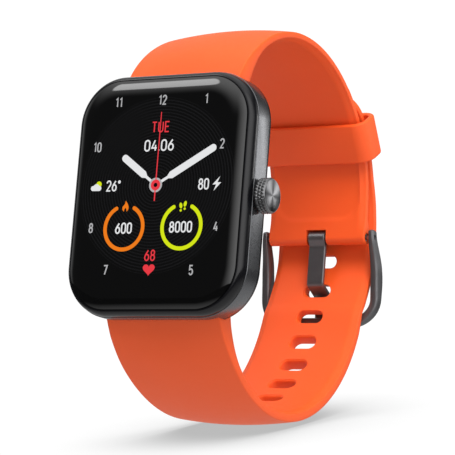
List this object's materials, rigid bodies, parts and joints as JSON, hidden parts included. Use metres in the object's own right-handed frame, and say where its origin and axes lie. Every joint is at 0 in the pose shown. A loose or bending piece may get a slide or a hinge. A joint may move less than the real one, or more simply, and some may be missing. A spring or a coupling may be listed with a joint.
{
  "type": "gps running watch",
  "caption": "Rectangular sports watch with a turning, pressing crown and a buckled silicone strap with keeper, pin buckle and quick-release spring bars.",
  "frame": {"origin": "centre of the flat sensor window on the back of the case, where it rests on the wrist", "axes": "+X towards the crown side, +Z towards twelve o'clock, -Y out of the screen"},
  "size_m": [0.0383, 0.0653, 0.0716],
  "materials": {
    "satin_metal": "satin anodised grey",
    "black_gloss": "polished black",
    "cover_glass": "curved glass, black behind",
    "screen": "dark panel with a lit dial",
    "dark_metal": "gunmetal coated",
    "steel": "plain",
    "gold": "gold plated",
    "silicone": "matte orange silicone",
    "black_plastic": "fine matte black",
    "board": "green solder mask",
    "foil": "silver foil",
    "polyimide": "amber film",
    "dark_rubber": "black"
  },
  "bodies": {
    "case": {"case_frame": "satin_metal", "bezel_ring": "black_gloss", "cover_glass": "cover_glass", "display_panel": "screen", "display_adhesive": "dark_rubber", "display_flex": "polyimide", "inner_bracket": "black_plastic", "main_board": "board", "shield_can": "steel", "gps_antenna": "polyimide", "battery": "foil", "vibration_motor_can": "steel", "sensor_board": "board", "sensor_window": "black_gloss", "back_cover": "black_plastic", "back_gasket": "dark_rubber", "back_screw_1": "dark_metal", "back_screw_2": "dark_metal", "back_screw_3": "dark_metal", "back_screw_4": "dark_metal", "charging_pin_left": "gold", "charging_pin_right": "gold", "charging_magnet_left": "steel", "charging_magnet_right": "steel", "crown_tube": "steel", "crown_o_ring": "dark_rubber", "tact_switch": "black_plastic", "upper_bar_tube": "steel", "upper_bar_fixed_pin": "steel", "lower_bar_tube": "steel", "lower_bar_fixed_pin": "steel", "strap_upper": "silicone", "strap_lower": "silicone", "buckle_bar_tube": "steel"},
    "motor_rotor": {"motor_rotor": "steel"},
    "crown_plunger": {"thrust_plate": "steel"},
    "crown": {"crown_knob": "dark_metal", "crown_stem": "steel"},
    "switch_plunger": {"switch_plunger": "steel"},
    "upper_release_pin": {"upper_bar_release_pin": "steel"},
    "lower_release_pin": {"lower_bar_release_pin": "steel"},
    "keeper": {"keeper": "silicone"},
    "buckle_frame": {"buckle_frame": "dark_metal"},
    "buckle_tang": {"buckle_tang": "dark_metal"},
    "buckle_pin_left": {"buckle_pin_left": "steel"},
    "buckle_pin_right": {"buckle_pin_right": "steel"}
  },
  "joints": [
    {"name": "motor_spin", "type": "hinge", "parent": "case", "child": "motor_rotor", "pos_m": [-0.007, -0.0045, -0.0103], "axis": [0, 1, 0], "continuous": true},
    {"name": "crown_press", "type": "slide", "parent": "case", "child": "crown_plunger", "axis": [-1, 0, 0], "range_m": [0, 0.0004]},
    {"name": "crown_turn", "type": "hinge", "parent": "crown_plunger", "child": "crown", "pos_m": [0.0194, -0.0058, -0.0002], "axis": [1, 0, 0], "continuous": true},
    {"name": "switch_press", "type": "slide", "parent": "case", "child": "switch_plunger", "axis": [-1, 0, 0], "range_m": [0, 0.0004]},
    {"name": "upper_quick_release", "type": "slide", "parent": "case", "child": "upper_release_pin", "axis": [1, 0, 0], "range_m": [0, 0.0013]},
    {"name": "lower_quick_release", "type": "slide", "parent": "case", "child": "lower_release_pin", "axis": [1, 0, 0], "range_m": [0, 0.0013]},
    {"name": "keeper_slide", "type": "hinge", "parent": "case", "child": "keeper", "pos_m": [0, 0.0206, 0.005], "axis": [1, 0, 0], "range_deg": [-4.5, 9]},
    {"name": "buckle_pivot", "type": "hinge", "parent": "case", "child": "buckle_frame", "pos_m": [0, 0.04986, 0.0032], "axis": [1, 0, 0], "range_deg": [0, 1.5]},
    {"name": "tang_pivot", "type": "hinge", "parent": "buckle_frame", "child": "buckle_tang", "pos_m": [0, 0.04986, 0.0032], "axis": [1, 0, 0], "range_deg": [0, 1.5]},
    {"name": "buckle_pin_left_press", "type": "slide", "parent": "case", "child": "buckle_pin_left", "axis": [1, 0, 0], "range_m": [0, 0.0014]},
    {"name": "buckle_pin_right_press", "type": "slide", "parent": "case", "child": "buckle_pin_right", "axis": [-1, 0, 0], "range_m": [0, 0.0014]}
  ],
  "couplings": [
    {"joint": "switch_press", "follows": "crown_press", "ratio": 1}
  ]
}
